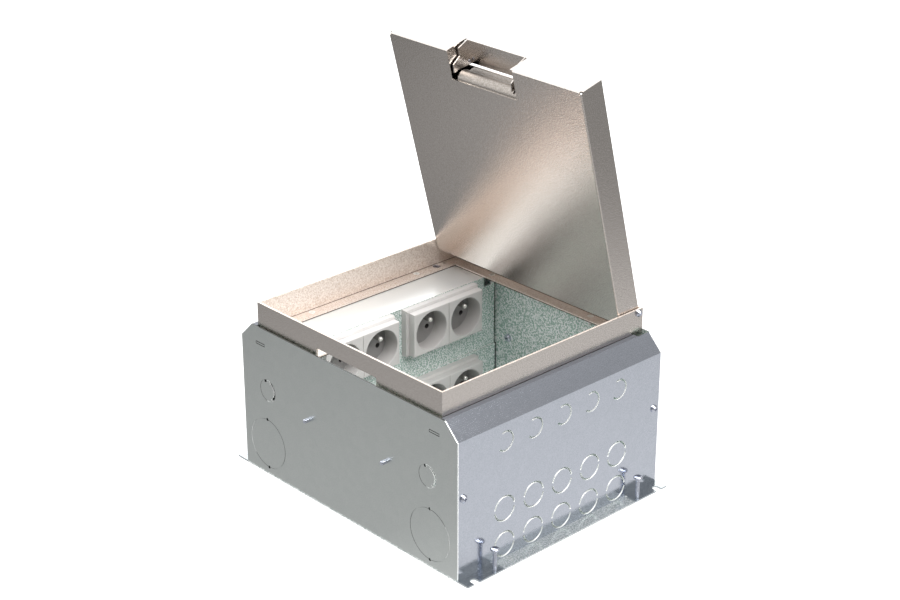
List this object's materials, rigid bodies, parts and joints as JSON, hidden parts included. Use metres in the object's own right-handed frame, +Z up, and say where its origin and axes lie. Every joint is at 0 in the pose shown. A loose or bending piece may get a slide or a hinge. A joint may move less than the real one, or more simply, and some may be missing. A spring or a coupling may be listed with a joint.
{
  "type": "floor socket box",
  "caption": "Galvanised floor socket box with stainless height-adjustable frame, open hinged tray lid with cable outlet flap, and rows of double socket outlets",
  "frame": {"origin": "centre of the underside of the base plate", "axes": "X to the right along the front plate, Y from the front plate to the hinge side, Z up"},
  "size_m": [0.328, 0.274, 0.4126],
  "materials": {
    "galvanised_steel": "galvanised sheet with fine spangle, semi-gloss",
    "stainless_steel": "stainless sheet, fine satin grain",
    "zinc_plated_steel": "bright zinc plating on screws, nuts and pins",
    "white_plastic": "smooth semi-gloss moulded plastic",
    "nickel_plated_brass": "nickel-plated turned pins"
  },
  "bodies": {
    "box": {"base_plate": "galvanised_steel", "right_side_wall": "galvanised_steel", "left_side_wall": "galvanised_steel", "front_plate": "galvanised_steel", "back_plate": "galvanised_steel", "right_height_rail": "galvanised_steel", "left_height_rail": "galvanised_steel", "height_nuts": "zinc_plated_steel", "wall_screws": "zinc_plated_steel", "plate_studs": "zinc_plated_steel", "lower_socket_panel": "galvanised_steel", "lower_front_bezel": "white_plastic", "lower_front_socket": "white_plastic", "lower_rear_bezel": "white_plastic", "lower_rear_socket": "white_plastic", "lower_earth_pins": "nickel_plated_brass"},
    "frame": {"frame": "stainless_steel", "flange_screws": "zinc_plated_steel", "flange_nuts": "zinc_plated_steel", "upper_socket_panel": "galvanised_steel", "upper_front_bezel": "white_plastic", "upper_front_socket": "white_plastic", "upper_rear_bezel": "white_plastic", "upper_rear_socket": "white_plastic", "upper_earth_pins": "nickel_plated_brass", "hinge_pins": "zinc_plated_steel"},
    "lid": {"lid": "stainless_steel", "outlet_trough": "stainless_steel", "outlet_cover": "stainless_steel", "pivot_rivets": "zinc_plated_steel"},
    "flap": {"flap": "stainless_steel"},
    "adjuster_left_front": {"height_adjuster_left_front": "zinc_plated_steel"},
    "adjuster_left_rear": {"height_adjuster_left_rear": "zinc_plated_steel"},
    "adjuster_right_front": {"height_adjuster_right_front": "zinc_plated_steel"},
    "adjuster_right_rear": {"height_adjuster_right_rear": "zinc_plated_steel"},
    "leveller_left_front": {"levelling_screw_left_front": "zinc_plated_steel"},
    "leveller_left_rear": {"levelling_screw_left_rear": "zinc_plated_steel"},
    "leveller_right_front": {"levelling_screw_right_front": "zinc_plated_steel"},
    "leveller_right_rear": {"levelling_screw_right_rear": "zinc_plated_steel"}
  },
  "joints": [
    {"name": "frame_height", "type": "slide", "parent": "box", "child": "frame", "axis": [0, 0, 1], "range_m": [0, 0.012]},
    {"name": "lid_hinge", "type": "hinge", "parent": "frame", "child": "lid", "pos_m": [0, 0.1214, 0.1737], "axis": [-1, 0, 0], "range_deg": [-75.5, 19.5]},
    {"name": "flap_hinge", "type": "hinge", "parent": "lid", "child": "flap", "pos_m": [0, 0.06412, 0.39119], "axis": [-1, 0, 0], "range_deg": [0, 80]},
    {"name": "adjuster_turn_left_front", "type": "hinge", "parent": "frame", "child": "adjuster_left_front", "pos_m": [-0.121, -0.095, 0.1485], "axis": [0, 0, 1], "range_deg": [-4400, 0]},
    {"name": "adjuster_turn_left_rear", "type": "hinge", "parent": "frame", "child": "adjuster_left_rear", "pos_m": [-0.121, 0.095, 0.1485], "axis": [0, 0, 1], "range_deg": [-4400, 0]},
    {"name": "adjuster_turn_right_front", "type": "hinge", "parent": "frame", "child": "adjuster_right_front", "pos_m": [0.121, -0.095, 0.1485], "axis": [0, 0, 1], "range_deg": [-4400, 0]},
    {"name": "adjuster_turn_right_rear", "type": "hinge", "parent": "frame", "child": "adjuster_right_rear", "pos_m": [0.121, 0.095, 0.1485], "axis": [0, 0, 1], "range_deg": [-4400, 0]},
    {"name": "levelling_left_front", "type": "slide", "parent": "box", "child": "leveller_left_front", "axis": [0, 0, -1], "range_m": [0, 0.018]},
    {"name": "levelling_left_rear", "type": "slide", "parent": "box", "child": "leveller_left_rear", "axis": [0, 0, -1], "range_m": [0, 0.018]},
    {"name": "levelling_right_front", "type": "slide", "parent": "box", "child": "leveller_right_front", "axis": [0, 0, -1], "range_m": [0, 0.018]},
    {"name": "levelling_right_rear", "type": "slide", "parent": "box", "child": "leveller_right_rear", "axis": [0, 0, -1], "range_m": [0, 0.018]}
  ],
  "couplings": [
    {"joint": "adjuster_turn_left_front", "follows": "frame_height", "rad_per_m": -6283.2},
    {"joint": "adjuster_turn_left_rear", "follows": "frame_height", "rad_per_m": -6283.2},
    {"joint": "adjuster_turn_right_front", "follows": "frame_height", "rad_per_m": -6283.2},
    {"joint": "adjuster_turn_right_rear", "follows": "frame_height", "rad_per_m": -6283.2}
  ]
}
